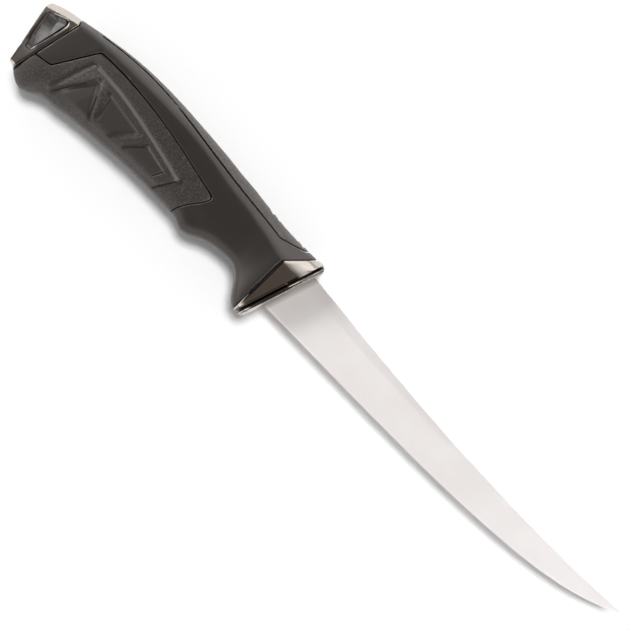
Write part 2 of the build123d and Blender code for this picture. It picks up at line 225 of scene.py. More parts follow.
STEEL_COLOR = (0.96, 0.94, 0.935, 1)
STEEL_SHADE_COLOR = (0.92, 0.895, 0.885, 1)
# Painted shade: the colour that the blade's heel darkens to beside the bolster
STEEL_PAINTED_SHADE_COLOR = (0.50, 0.45, 0.42, 1)
STEEL_ROUGHNESS = (0.72, 0.80)
STEEL_GRAIN = 0.5 * MM
STEEL_GRAIN_STRETCH = (6, 0.25, 1)
STEEL_GRAIN_SHADE = 0.25
STEEL_CLOUD = 22 * MM
STEEL_RELIEF = 0.3
# How far ahead of the bolster painted shade darkens the blade's heel, where the bolster shelters it
# from light, and how much
HEEL_PAINTED_SHADE_LENGTH = 2.2 * MM
HEEL_PAINTED_SHADE_STRENGTH = 0.9

GUNMETAL_COLOR = (0.66, 0.60, 0.55, 1)
# Outer edges are lighter, partly from wear and partly as a painted highlight
GUNMETAL_WORN_AND_HIGHLIGHT_COLOR = (0.88, 0.83, 0.78, 1)
# Painted shade: the colour that the marked grooves and edges darken to
GUNMETAL_PAINTED_SHADE_COLOR = (0.012, 0.010, 0.009, 1)
GUNMETAL_ROUGHNESS = (0.16, 0.26)
GUNMETAL_GRAIN = 0.35 * MM
GUNMETAL_GRAIN_STRETCH = (1, 4, 1)
GUNMETAL_GRAIN_TURN = 30
GUNMETAL_RELIEF = 0.25
# The hole's wall is painted dark as the shade inside it, with lighter streaks from drilling
BORE_PAINTED_SHADE_COLOR = (0.060, 0.048, 0.045, 1)
BORE_STREAK_COLOR = (0.20, 0.175, 0.17, 1)
BORE_STREAK = 0.4 * MM
BORE_STREAK_STRETCH = (1, 1, 0.05)

PLASTIC_SHEEN_COLOR = (1.0, 0.90, 0.84, 1)
PLASTIC_SPECULAR = 0.9
CORE_COLOR = (0.0165, 0.0143, 0.0136, 1)
# Painted light: the crown above the ridge, which faces the lamps, is painted lighter
CORE_CROWN_PAINTED_LIGHT_COLOR = (0.060, 0.055, 0.052, 1)
CORE_ROUGHNESS = (0.38, 0.46)
CORE_SPARK = 0.18 * MM
CORE_RELIEF_DEPTH = 0.012 * MM
CORE_RELIEF = 0.5

GRIP_COLOR = (0.0085, 0.0072, 0.0068, 1)
GRIP_FLECK_COLOR = (0.058, 0.052, 0.049, 1)
GRIP_FACET_COLOR = (0.018, 0.016, 0.0155, 1)
# Painted highlight on the band under the pad's upper line and on the facets' upper edges
GRIP_PAINTED_HIGHLIGHT_COLOR = (0.095, 0.089, 0.084, 1)
# Painted shade in the creases, at the pad's front end and along the eased lines
GRIP_PAINTED_SHADE_COLOR = (0.005, 0.0043, 0.0041, 1)
# The spine strip's own rubber colour, made lighter as painted light on the handle's top, which faces
# the lamps
STRIP_COLOR = (0.060, 0.056, 0.053, 1)
STRIP_FLECK_COLOR = (0.135, 0.127, 0.121, 1)
# As moulded, and where a highlight is painted on
RUBBER_ROUGHNESS = (0.50, 0.40)
CREASE_SPECULAR = 0.25
STIPPLE = 0.5 * MM
STIPPLE_DETAIL = 2.5
STIPPLE_ROUGHNESS = 0.65
STIPPLE_DEPTH = 0.14 * MM
STIPPLE_RELIEF = 0.75
# What is left of the stipple in the facets
FACET_STIPPLE_SHARE = 0.2

FASTENER_COLOR = (0.6, 0.6, 0.6, 1)
FASTENER_ROUGHNESS = (0.34, 0.46)
FASTENER_GRAIN = 0.3 * MM


class Finish:
    """A material with a Principled shader and Object coordinates to build on."""

    def __init__(self, name, color, metallic=0.0, specular=0.5, sheen=None):
        self.material = bpy.data.materials.new(name)
        self.material.use_nodes = True
        self.tree = self.material.node_tree
        self.shader = self.tree.nodes["Principled BSDF"]
        self.shader.inputs["Base Color"].default_value = color
        self.shader.inputs["Metallic"].default_value = metallic
        self.shader.inputs["Specular IOR Level"].default_value = specular
        if sheen:
            self.shader.inputs["Specular Tint"].default_value = sheen
        self.object_place = self.node("ShaderNodeTexCoord").outputs["Object"]
        self.bump_height = None

    def node(self, kind, **settings):
        """A new node with these settings."""
        node = self.tree.nodes.new(kind)
        for name, value in settings.items():
            setattr(node, name, value)
        return node

    def link(self, output, target):
        """Carry an output to an input."""
        self.tree.links.new(output, target)

    def drive(self, socket, output):
        """Carry an output to one of the shader's own inputs."""
        self.link(output, self.shader.inputs[socket])

    def stretched(self, scale, turn=0):
        """Object coordinates turned and scaled along each axis, so a grain can run one way."""
        mapping = self.node("ShaderNodeMapping")
        mapping.inputs["Scale"].default_value = scale
        mapping.inputs["Rotation"].default_value = (0, 0, turn)
        self.link(self.object_place, mapping.inputs["Vector"])
        return mapping.outputs["Vector"]

    def noise(self, size, detail=2.0, roughness=0.5, vector=None):
        """A noise whose spots have about this size."""
        noise = self.node("ShaderNodeTexNoise")
        noise.inputs["Scale"].default_value = 1 / size
        noise.inputs["Detail"].default_value = detail
        noise.inputs["Roughness"].default_value = roughness
        self.link(vector or self.object_place, noise.inputs["Vector"])
        return noise.outputs["Fac"]

    def scaled(self, value, factor):
        """The product of two values."""
        product = self.node("ShaderNodeMath", operation="MULTIPLY")
        self.link(value, product.inputs[0])
        self.link(factor, product.inputs[1])
        return product.outputs[0]

    def ramp(self, value, low, high, from_value=0.0, to_value=1.0):
        """A value between low and high, mapped to between two others and held at their ends."""
        ramp = self.node("ShaderNodeMapRange")
        ramp.inputs["From Min"].default_value = low
        ramp.inputs["From Max"].default_value = high
        ramp.inputs["To Min"].default_value = from_value
        ramp.inputs["To Max"].default_value = to_value
        self.link(value, ramp.inputs["Value"])
        return ramp.outputs["Result"]

    def blend(self, share, first, second):
        """The first colour where the share is zero, and the second where it is one."""
        mix = self.node("ShaderNodeMix", data_type="RGBA")
        self.link(share, mix.inputs["Factor"])
        for color, target in ((first, mix.inputs[MIX_FIRST]), (second, mix.inputs[MIX_SECOND])):
            if isinstance(color, tuple):
                target.default_value = color
            else:
                self.link(color, target)
        return mix.outputs[MIX_RESULT]

    def relief(self, height, depth, strength):
        """Raise and sink the surface by a height, on top of any relief that it has."""
        bump = self.node("ShaderNodeBump")
        bump.inputs["Distance"].default_value = depth
        bump.inputs["Strength"].default_value = strength
        self.link(height, bump.inputs["Height"])
        if self.bump_height:
            self.link(self.bump_height, bump.inputs["Normal"])
        self.bump_height = bump.outputs["Normal"]
        self.drive("Normal", self.bump_height)

    def worn_and_highlit_edges(self):
        """How worn an outer edge is and how bright its painted highlight, from the mesh's own
        pointiness.
        """
        geometry = self.node("ShaderNodeNewGeometry")
        return self.ramp(geometry.outputs["Pointiness"], *WORN_AND_HIGHLIGHT_SPAN)

    def marked(self, name):
        """A weight that was kept on the piece as an attribute."""
        return self.node("ShaderNodeAttribute", attribute_name=name).outputs["Fac"]


def make_blade_steel():
    """Brushed steel, with painted shade on the blade's heel beside the bolster."""
    finish = Finish("blade_steel", STEEL_COLOR, metallic=1.0)
    grain = finish.noise(STEEL_GRAIN, BRUSHED_DETAIL, vector=finish.stretched(STEEL_GRAIN_STRETCH))
    clouds = finish.noise(STEEL_CLOUD)
    tone = finish.blend(finish.ramp(clouds, *CLOUD_SPAN), STEEL_COLOR, STEEL_SHADE_COLOR)
    streaks = finish.ramp(grain, *GRAIN_SPAN, 0, STEEL_GRAIN_SHADE)
    tone = finish.blend(streaks, tone, STEEL_SHADE_COLOR)
    slant = math.radians(FRONT_SLANT)
    ahead = finish.node("ShaderNodeSeparateXYZ")
    finish.link(finish.stretched((1, 1, 1), slant), ahead.inputs["Vector"])
    lip = HEEL_X * math.cos(slant) - HEEL_Y * math.sin(slant)
    # Painted shade, darkest at the bolster and gone a little way ahead of it
    painted_heel_shade = finish.ramp(ahead.outputs["X"], lip, lip + HEEL_PAINTED_SHADE_LENGTH, HEEL_PAINTED_SHADE_STRENGTH, 0.0)
    finish.drive("Base Color", finish.blend(painted_heel_shade, tone, STEEL_PAINTED_SHADE_COLOR))
    finish.drive("Roughness", finish.ramp(grain, *GRAIN_SPAN, *STEEL_ROUGHNESS))
    finish.relief(grain, METAL_RELIEF_DEPTH, STEEL_RELIEF)
    return finish.material


def make_gunmetal():
    """Plated metal with worn edges that carry a painted highlight, painted shade in its grooves and
    along some edges, and a streaked wall in its hole that is painted dark as shade.
    """
    finish = Finish("gunmetal", GUNMETAL_COLOR, metallic=1.0)
    turned = finish.stretched(GUNMETAL_GRAIN_STRETCH, math.radians(GUNMETAL_GRAIN_TURN))
    grain = finish.noise(GUNMETAL_GRAIN, BRUSHED_DETAIL, vector=turned)
    tone = finish.blend(finish.worn_and_highlit_edges(), GUNMETAL_COLOR, GUNMETAL_WORN_AND_HIGHLIGHT_COLOR)
    streaks = finish.noise(BORE_STREAK, vector=finish.stretched(BORE_STREAK_STRETCH))
    bore = finish.blend(finish.ramp(streaks, *CLOUD_SPAN), BORE_PAINTED_SHADE_COLOR, BORE_STREAK_COLOR)
    tone = finish.blend(finish.marked("bored"), tone, bore)
    # Painted shade in the grooves and along the marked edges
    tone = finish.blend(finish.marked("painted_shade_weight"), tone, GUNMETAL_PAINTED_SHADE_COLOR)
    finish.drive("Base Color", tone)
    finish.drive("Roughness", finish.ramp(grain, *GRAIN_SPAN, *GUNMETAL_ROUGHNESS))
    finish.relief(grain, METAL_RELIEF_DEPTH, GUNMETAL_RELIEF)
    return finish.material


def make_core_plastic():
    """Hard matte plastic, with painted light on the crown above the ridge."""
    finish = Finish("core_plastic", CORE_COLOR, specular=PLASTIC_SPECULAR, sheen=PLASTIC_SHEEN_COLOR)
    spark = finish.noise(CORE_SPARK)
    tone = finish.blend(finish.marked("crown_painted_light"), CORE_COLOR, CORE_CROWN_PAINTED_LIGHT_COLOR)
    finish.drive("Base Color", tone)
    finish.drive("Roughness", finish.ramp(spark, *GRAIN_SPAN, *CORE_ROUGHNESS))
    finish.relief(spark, CORE_RELIEF_DEPTH, CORE_RELIEF)
    return finish.material


def make_rubber(name, color, fleck_color):
    """Stippled rubber, smooth in its facets, glossier where a highlight is painted on, and with
    painted shade in its creases.
    """
    finish = Finish(name, color, specular=PLASTIC_SPECULAR, sheen=PLASTIC_SHEEN_COLOR)
    stipple = finish.noise(STIPPLE, STIPPLE_DETAIL, STIPPLE_ROUGHNESS)
    plain = finish.marked("plain")
    painted_highlight_weight = finish.marked("painted_highlight_weight")
    painted_shade_weight = finish.marked("painted_shade_weight")
    tone = finish.blend(finish.ramp(stipple, *FLECK_SPAN), color, fleck_color)
    tone = finish.blend(plain, tone, GRIP_FACET_COLOR)
    tone = finish.blend(painted_highlight_weight, tone, GRIP_PAINTED_HIGHLIGHT_COLOR)
    tone = finish.blend(painted_shade_weight, tone, GRIP_PAINTED_SHADE_COLOR)
    finish.drive("Base Color", tone)
    finish.drive("Roughness", finish.ramp(painted_highlight_weight, 0, 1, *RUBBER_ROUGHNESS))
    specular = finish.ramp(painted_shade_weight, 0, 1, PLASTIC_SPECULAR, CREASE_SPECULAR)
    finish.drive("Specular IOR Level", specular)
    stipple_share = finish.ramp(plain, 0, 1, 1.0, FACET_STIPPLE_SHARE)
    finish.relief(finish.scaled(stipple, stipple_share), STIPPLE_DEPTH, STIPPLE_RELIEF)
    return finish.material


def make_fastener_steel():
    """Plain steel for the rivets and the pin."""
    finish = Finish("fastener_steel", FASTENER_COLOR, metallic=1.0)
    grain = finish.noise(FASTENER_GRAIN)
    finish.drive("Roughness", finish.ramp(grain, *GRAIN_SPAN, *FASTENER_ROUGHNESS))
    return finish.material


blade_steel = make_blade_steel()
gunmetal = make_gunmetal()
core_plastic = make_core_plastic()
soft_grip = make_rubber("soft_grip", GRIP_COLOR, GRIP_FLECK_COLOR)
strip_rubber = make_rubber("strip_rubber", STRIP_COLOR, STRIP_FLECK_COLOR)
fastener_steel = make_fastener_steel()

# The blade

# A smooth skin goes over the same stations as in the CAD model. Each gives its place along the blade,
# its spine and edge as shares of the heel's height, its thickness as a share of the blade's, and how
# much of its height isn't ground.
BLADE_STATION_SHARES = [
    (-0.059, 0.561, -0.487, 1.04, 0.40),
    (0.000, 0.505, -0.497, 1.04, 0.39),
    (0.098, 0.415, -0.516, 1.04, 0.37),
    (0.197, 0.317, -0.537, 1.04, 0.35),
    (0.295, 0.233, -0.556, 1.04, 0.32),
    (0.394, 0.159, -0.571, 1.03, 0.28),
    (0.492, 0.095, -0.579, 0.99, 0.23),
    (0.591, 0.048, -0.569, 0.92, 0.18),
    (0.689, 0.011, -0.537, 0.83, 0.14),
    (0.774, -0.008, -0.484, 0.73, 0.11),
    (0.840, -0.016, -0.413, 0.62, 0.10),
    (0.892, -0.013, -0.328, 0.52, 0.10),
    (0.938, -0.005, -0.220, 0.42, 0.10),
    (0.974, 0.003, -0.106, 0.32, 0.10),
    (1.000, 0.011, -0.001, 0.18, 0.10),
]
HEEL_HEIGHT = 18.9 * MM
BLADE_THICKNESS = 1.9 * MM
EDGE_BEVEL_HEIGHT = 0.85 * MM
EDGE_BEVEL_THICKNESS = 0.5 * MM
HONED_HEIGHT = 2.4 * MM
HONED_CROWN = 0.03 * MM
SPINE_ROUND = 0.18 * MM
# Near the tip these stay within a share of the section's height, or of half its thickness
EDGE_BEVEL_HEIGHT_LIMIT = 0.25
EDGE_BEVEL_THICKNESS_LIMIT = 0.5
HONED_HEIGHT_LIMIT = 0.45
SPINE_ROUND_LIMIT = 0.3
# The last row on the flat and the first on the ground side, as shares of the height that isn't ground,
# and how far below the flat that first row may lie, as a share of the whole height
FLAT_ROW_SHARE = 0.6
GROUND_ROW_SHARE = 1.35
GROUND_ROW_LIMIT = 0.12
BLADE_STEPS = 120
# Above one, the steps get shorter towards the tip
TIP_CROWDING = 1.25
HEEL_SEAT_DEPTH = 1.5 * MM
BLADE_MIRROR_MERGE = 0.01 * MM
BLADE_MERGE = 0.004 * MM
# Faces that meet at a smaller angle than this are shaded as one, in degrees
BLADE_SMOOTH_ANGLE = 9


def eased(stations, x):
    """The values at a place between the stations, on a smooth curve through them."""
    index = 0
    while index < len(stations) - 2 and stations[index + 1][0] < x:
        index += 1
    rear, front = stations[index], stations[index + 1]
    before = stations[max(index - 1, 0)]
    after = stations[min(index + 2, len(stations) - 1)]
    span = front[0] - rear[0]
    share = (x - rear[0]) / span
    values = []
    for column in range(1, len(rear)):
        rear_slope = (front[column] - before[column]) / (front[0] - before[0])
        front_slope = (after[column] - rear[column]) / (after[0] - rear[0])
        values.append(
            rear[column] * (1 + 2 * share) * (1 - share) ** 2
            + rear_slope * span * share * (1 - share) ** 2
            + front[column] * share**2 * (3 - 2 * share)
            - front_slope * span * share**2 * (1 - share)
        )
    return values


def blade_side(spine, edge, thickness, flat):
    """The right side of the blade's section, from the middle of the spine round to the edge."""
    spine_y, edge_y = spine * HEEL_HEIGHT, edge * HEEL_HEIGHT
    height = spine_y - edge_y
    forged = thickness * BLADE_THICKNESS / 2
    half = min(forged, BLADE_THICKNESS / 2)
    bevel = min(EDGE_BEVEL_HEIGHT, EDGE_BEVEL_HEIGHT_LIMIT * height)
    bevel_half = min(EDGE_BEVEL_THICKNESS / 2, EDGE_BEVEL_THICKNESS_LIMIT * half)
    honed = min(HONED_HEIGHT, HONED_HEIGHT_LIMIT * height)
    ground_top = spine_y - flat * height
    ground_foot = edge_y + bevel
    corner = min(SPINE_ROUND, SPINE_ROUND_LIMIT * half)

    def ground(y):
        return bevel_half + (forged - bevel_half) * (y - ground_foot) / (ground_top - ground_foot)

    lower = edge_y + honed
    upper = spine_y - min(GROUND_ROW_SHARE * flat, flat + GROUND_ROW_LIMIT) * height
    middle = (upper + lower) / 2
    return [
        (spine_y, 0),
        (spine_y, half - corner),
        (spine_y - corner, half),
        (spine_y - FLAT_ROW_SHARE * flat * height, half),
        (upper, ground(upper)),
        (middle, ground(middle)),
        (lower, ground(lower) + HONED_CROWN),
        (ground_foot, bevel_half),
        (edge_y, 0),
    ]


def make_blade():
    """The ground skin ahead of the heel's seat, joined to the CAD model's tang behind it."""
    rows = len(blade_side(*BLADE_STATION_SHARES[0][1:]))
    bpy.ops.mesh.primitive_grid_add(x_subdivisions=BLADE_STEPS, y_subdivisions=rows - 1, size=1)
    blade = bpy.context.object
    blade.name = blade.data.name = "blade_ground"
    first, last = BLADE_STATION_SHARES[0][0], BLADE_STATION_SHARES[-1][0]
    for vertex in blade.data.vertices:
        share = vertex.co.x + 0.5
        row = round((0.5 - vertex.co.y) * (rows - 1))
        along = first + (last - first) * (1 - (1 - share) ** TIP_CROWDING)
        y, z = blade_side(*eased(BLADE_STATION_SHARES, along))[row]
        vertex.co = (along * BLADE_LENGTH, y, z)
    finish_modifier(
        blade,
        "MIRROR",
        use_axis=(False, False, True),
        use_mirror_merge=True,
        merge_threshold=BLADE_MIRROR_MERGE,
    )
    edit_all(blade)
    bpy.ops.transform.translate(value=place(0, 0))
    bpy.ops.mesh.remove_doubles(threshold=BLADE_MERGE)
    bpy.ops.mesh.normals_make_consistent(inside=False)
    bpy.ops.object.mode_set(mode="OBJECT")
    cut_behind_seat(blade, keep_front=True)
    tang = working_copy("blade", "tang")
    cut_behind_seat(tang, keep_front=False)
    only(blade)
    tang.select_set(True)
    bpy.ops.object.join()
    bpy.ops.object.shade_smooth_by_angle(angle=math.radians(BLADE_SMOOTH_ANGLE))
    return blade


def cut_behind_seat(piece, keep_front):
    """Cut a piece at the back of the heel's seat in the bolster and keep one side of the cut."""
    slant = math.radians(FRONT_SLANT)
    forward = Vector((math.cos(slant), -math.sin(slant), 0))
    edit_all(piece)
    bpy.ops.mesh.bisect(
        plane_co=place(0, 0) - forward * HEEL_SEAT_DEPTH,
        plane_no=forward,
        use_fill=True,
        clear_inner=keep_front,
        clear_outer=not keep_front,
    )
    bpy.ops.object.mode_set(mode="OBJECT")


# The handle and its metal

# How fine each new mesh is
CORE_GRAIN = 0.32 * MM
GRIP_GRAIN = 0.30 * MM
STRIP_GRAIN = 0.19 * MM
METAL_GRAIN = 0.18 * MM

# Passes of smoothing, over a whole piece and then on parts of it
PASSES = 2
CORE_PASSES = 3
CORE_RIDGE_PASSES = 50
BOLSTER_RIDGE_PASSES = 300
FACET_PASSES = 30
PAD_REAR_PASSES = 30
PAD_EDGE_PASSES = 2

# From here to the pieces, lengths are millimetres in the knife's own frame, and lines and outlines are
# seen from the side. A fade says where something is full and where it is gone, and a rise where it
# starts and where it is full.

# The ridge along the handle, from the rear to the front, and the joints that stay sharp beside it
RIDGE_LINE = [
    (-114.9, 13.2), (-106.4, 15.0), (-92.6, 15.6), (-71.0, 15.4), (-59.1, 14.8), (-49.2, 13.5),
    (-39.0, 11.3), (-29.6, 9.9), (-19.2, 7.8), (-12.8, 6.2), (-7.0, 5.2), (6.0, 5.2),
]
BOLSTER_JOINT_LINE = [(-9.0, -22.0), (-8.4, 1.0), (-8.3, 5.6), (4.3, 18.2)]
POMMEL_JOINT_LINE = [(-116.5, -14.0), (-109.4, 14.4), (-112.3, 17.6)]
GROOVE_LINE = [(6.1, 20.0), (-9.1, -24.0)]
CORE_RIDGE_FADE = (1.2, 3.2)
CORE_JOINT_RISE = (0.4, 1.6)
CROWN_FADE = (-2.6, 0.2)
BOLSTER_RIDGE_FADE = (2.0, 4.6)
BOLSTER_JOINT_RISE = (0.25, 1.2)

# The finger dent low on the core's sides
DENT_PLACE = (-39.4, -5.2)
DENT_RADIUS = 6.0
DENT_DEPTH = 0.45

# The palm pad: its upper line, from the rear to the front, and its other edges
PAD_LINE = [
    (-94.7, 9.5), (-89.5, 9.2), (-83.3, 8.6), (-78.5, 7.8),
    (-73.5, 6.8), (-65.2, 4.9), (-57.0, 2.9), (-50.7, 1.1),
]
PAD_REAR_LINE = [(-102.6, -5.9), (-97.0, 8.2)]
PAD_UNDER_LINE = [(-102.6, -5.9), (-54.5, -5.6)]
PAD_END_LINE = [(-51.0, -0.1), (-55.5, -6.9)]
PAD_HEIGHT = 0.8
PAD_BAND_WIDTH = 1.3
PAD_BAND_FADE = (0.5, 0.75)
# How far forwards the slope at the pad's rear runs
PAD_REAR_RUN = 9.0
PAD_REAR_FADE = (0.5, 1.3)
PAD_END_FADE = (0.15, 0.6)
PAD_EDGE_DROP = 0.4
PAD_EDGE_FADE = (0.8, 1.5)

# The crease beside the grip's rear lobe
LOBE_LINE = [(-103.4, -6.6), (-107.2, -12.8)]
LOBE_FADE = (0.1, 1.6)
LOBE_DEPTH = 0.45

# The pad's facets, the creases beside them, which carry painted shade, their upper edges, which carry
# a painted highlight, and the lines that are eased
FACET_OUTLINES = [
    [(-91.9, 5.4), (-90.0, 5.4), (-85.7, -5.2), (-100.8, -7.1)],
    [(-85.6, 4.9), (-70.4, 2.4), (-77.1, -4.4), (-84.0, -2.7)],
    [(-65.4, 1.5), (-56.4, -0.7), (-57.9, -4.0), (-71.0, -3.9)],
]
CREASE_LINES = [
    [(-94.4, 2.4), (-100.8, -7.1)],
    [(-88.6, 1.7), (-85.7, -5.2)],
    [(-66.2, 0.7), (-71.0, -3.9)],
    [(-56.2, -1.0), (-57.9, -4.0)],
]
BRIGHT_LINES = [
    [(-92.4, 5.7), (-90.2, 5.6)],
    [(-85.6, 5.0), (-70.4, 2.5)],
    [(-65.4, 1.7), (-56.4, -0.5)],
]
QUIET_LINES = [
    [(-91.2, 5.9), (-100.8, -7.2)],
    [(-91.2, 5.9), (-85.8, -5.2)],
    [(-85.8, 5.0), (-84.1, -2.7)],
    [(-70.3, 2.5), (-77.1, -4.5)],
    [(-65.9, 1.6), (-71.0, -4.0)],
    [(-49.9, 0.9), (-50.9, -0.6)],
]
CREASE_FADE = (0.1, 0.4)
CREASE_DEPTH = 0.35
BRIGHT_FADE = (0.1, 0.4)
QUIET_FADE = (0.5, 1.2)
# How strongly painted shade darkens the eased lines, and where it fades
QUIET_SHADE = 0.45
QUIET_SHADE_FADE = (0.5, 1.3)

# The bolster's painted shade, by how far behind its front it lies and how high. Four numbers say where
# one place of it starts, is full, ends and is gone.
LIP_GROOVE = (1.15, 1.35, 2.20, 2.45)
LIP_SHOULDER = (2.2, 2.35, 2.75, 2.95)
LIP_SHOULDER_SHADE = 0.85
LIP_SHOULDER_FADE = (4.5, 7.0)
LIP_FRONT = (0.50, 0.70, 0.86, 1.0)
LIP_FRONT_SHADE = 0.9
LIP_SHADE = 0.55
LIP_FADE = (1.1, 1.2)
LIP_FOOT_RISE = (-10.5, -8.5)
JOINT_SHADE = 0.95
JOINT_FADE = (0.45, 0.8)
JOINT_FOOT_RISE = (-12.5, -9.5)
# Above the ridge painted shade darkens the bolster, but not along its lit edge at the joint
TOP_SHADE = 0.6
TOP_FADE = (5.3, 9.2)
TOP_RISE = (5.3, 6.0)
LIT_EDGE_FADE = (0.5, 1.2)

# The pommel cap: its hole, from the upper rear corner round, and its rear edge
HOLE_OUTLINE = [(-119.65, 10.9), (-112.0, 13.4), (-115.5, -2.7), (-117.65, -2.7)]
HOLE_RIM_FADE = (0.75, 1.1)
HOLE_TOP_FADE = (9.5, 10.8)
HOLE_FOOT_RISE = (-1.0, 0.2)
POMMEL_REAR_LINE = [(-121.7, 11.0), (-118.2, -9.2)]
POMMEL_REAR_FADE = (0.3, 0.8)
POMMEL_FRONT_FADE = (0.4, 0.9)
POMMEL_TOP_FADE = (11.0, 12.5)
# How strongly painted shade darkens the cap's hole rim and edges
POMMEL_SHADE = 0.75
# Half the cap's thickness at a place along the knife, and how much it grows forwards
POMMEL_HALF_WIDTH = 7.35
POMMEL_WIDTH_PLACE = -119.3
POMMEL_FLARE = 0.11
# Between which heights the cap's sides are filled out
FILLED_TOP_FADE = (-4.5, -3.0)
FILLED_FOOT_RISE = (-10.6, -9.0)


def core_ridge(x, y):
    """One on the core's ridge, and zero at its joints."""
    to_joint = distance_to_lines((BOLSTER_JOINT_LINE, POMMEL_JOINT_LINE), x, y)
    ridge = fading(distance_to_line(RIDGE_LINE, x, y), *CORE_RIDGE_FADE)
    return ridge * rising(to_joint, *CORE_JOINT_RISE)


def core_painted_light_share(x, y):
    """How much painted light lightens the core: one on the crown above the ridge, fading out down to
    the ridge.
    """
    height = line_height(RIDGE_LINE, x)
    return 0 if height is None else fading(height - y, *CROWN_FADE)


def bolster_ridge(x, y):
    """One on the bolster's ridge, and zero at its joint and its groove."""
    to_joint = distance_to_lines((BOLSTER_JOINT_LINE, GROOVE_LINE), x, y)
    ridge = fading(distance_to_line(RIDGE_LINE, x, y), *BOLSTER_RIDGE_FADE)
    return ridge * rising(to_joint, *BOLSTER_JOINT_RISE)


def core_dent(x, y):
    """How deep the finger dent is."""
    share = math.hypot(x - DENT_PLACE[0], y - DENT_PLACE[1]) / DENT_RADIUS
    return DENT_DEPTH * (1 - share**2) ** 2 if share < 1 else 0


def below_pad_line(x, y):
    """How far below the pad's upper line a place lies, or minus infinity beyond its ends."""
    height = line_height(PAD_LINE, x)
    return -math.inf if height is None else height - y


def facet_crease_and_painted_shade(x, y):
    """How deep the creases beside the facets and at the pad's front end are, and how dark the painted
    shade is there and along the eased lines.
    """
    crease = fading(distance_to_lines(CREASE_LINES, x, y), *CREASE_FADE)
    end = fading(distance_to_line(PAD_END_LINE, x, y), *PAD_END_FADE)
    quiet = fading(distance_to_lines([*QUIET_LINES, PAD_REAR_LINE], x, y), *QUIET_SHADE_FADE)
    return max(crease, end, QUIET_SHADE * quiet)


def pad_slope(x, y):
    """How deep the pad's upper and rear edges are cut away, with the small grooves on the grip."""
    below = below_pad_line(x, y)
    slope = PAD_HEIGHT * (1 - below / PAD_BAND_WIDTH) if 0 <= below < PAD_BAND_WIDTH else 0
    (x0, y0), (x1, y1) = PAD_REAR_LINE
    ahead = ((x - x0) * (y1 - y0) - (y - y0) * (x1 - x0)) / math.hypot(x1 - x0, y1 - y0)
    if ahead > 0 and y0 < y < PAD_LINE[0][1]:
        slope = max(slope, PAD_HEIGHT * fading(ahead, 0, PAD_REAR_RUN))
    lobe = fading(distance_to_line(LOBE_LINE, x, y), *LOBE_FADE)
    return slope + CREASE_DEPTH * facet_crease_and_painted_shade(x, y) + LOBE_DEPTH * lobe


def facet_quiet(x, y):
    """One where the edges between the facets are eased."""
    return fading(distance_to_lines(QUIET_LINES, x, y), *QUIET_FADE)


def pad_edge(x, y):
    """One along the pad's upper edge."""
    return fading(abs(below_pad_line(x, y) - PAD_EDGE_DROP), *PAD_EDGE_FADE)


def pad_rear(x, y):
    """One along the pad's rear and lower edges."""
    return fading(distance_to_lines((PAD_REAR_LINE, PAD_UNDER_LINE), x, y), *PAD_REAR_FADE)


def pad_band(x, y):
    """One on the narrow band under the pad's upper line."""
    return fading(abs(below_pad_line(x, y) - PAD_BAND_WIDTH / 2), *PAD_BAND_FADE)


def facet_plain(x, y):
    """One in the facets and on the band, which have little stipple."""
    return max(pad_band(x, y), float(any(inside(outline, x, y) for outline in FACET_OUTLINES)))


def facet_painted_highlight(x, y):
    """Where a highlight is painted: one on the band and on the facets' bright edges."""
    return max(pad_band(x, y), fading(distance_to_lines(BRIGHT_LINES, x, y), *BRIGHT_FADE))


def lip_shade(x, y):
    """How much painted shade darkens the bolster in the groove behind its lip, beside it, at the joint
    and at the top.
    """
    slant = math.radians(FRONT_SLANT)
    behind = y * math.sin(slant) - x * math.cos(slant)
    groove = band(behind, *LIP_GROOVE)
    shoulder = LIP_SHOULDER_SHADE * band(behind, *LIP_SHOULDER) * fading(y, *LIP_SHOULDER_FADE)
    front_line = LIP_FRONT_SHADE * band(behind, *LIP_FRONT)
    lip = LIP_SHADE * fading(behind, *LIP_FADE) * rising(y, *LIP_FOOT_RISE)
    joint = JOINT_SHADE * fading(distance_to_line(BOLSTER_JOINT_LINE[:3], x, y), *JOINT_FADE)
    joint *= rising(y, *JOINT_FOOT_RISE)
    lit_edge = fading(distance_to_line(BOLSTER_JOINT_LINE[2:], x, y), *LIT_EDGE_FADE)
    top = TOP_SHADE * fading(y, *TOP_FADE) * rising(y, *TOP_RISE) * (1 - lit_edge)
    return max(groove, shoulder, front_line, lip, joint, top)


def hole_wall(x, y):
    """One on the wall of the lanyard hole."""
    return float(inside(HOLE_OUTLINE, x, y))


def hole_shade(x, y):
    """How much painted shade darkens the pommel cap at the hole's rim, at its rear edge and at its
    joint.
    """
    upper_rear, upper_front, lower_front, lower_rear = HOLE_OUTLINE
    sides = ([upper_rear, lower_rear], [upper_front, lower_front])
    rim = fading(distance_to_lines(sides, x, y), *HOLE_RIM_FADE) * fading(y, *HOLE_TOP_FADE)
    rim *= rising(y, *HOLE_FOOT_RISE) * (1 - hole_wall(x, y))
    rear = fading(distance_to_line(POMMEL_REAR_LINE, x, y), *POMMEL_REAR_FADE)
    front = fading(distance_to_line(POMMEL_JOINT_LINE[:2], x, y), *POMMEL_FRONT_FADE)
    return POMMEL_SHADE * max(rim, rear, front * fading(y, *POMMEL_TOP_FADE))


def fill_out(piece):
    """Carry the cap's flat sides on down to its heel, which the CAD model rounds off early."""
    for vertex, side in outer_vertices(piece):
        x, y = knife_place(vertex.co)
        share = fading(y, *FILLED_TOP_FADE) * rising(y, *FILLED_FOOT_RISE)
        if share > 0:
            half_width = POMMEL_HALF_WIDTH + POMMEL_FLARE * (x - POMMEL_WIDTH_PLACE)
            reach = side * (vertex.co.z - MID_Z) / MM
            reach += share * max(half_width - reach, 0)
            vertex.co.z = MID_Z + side * reach * MM
    piece.data.update()


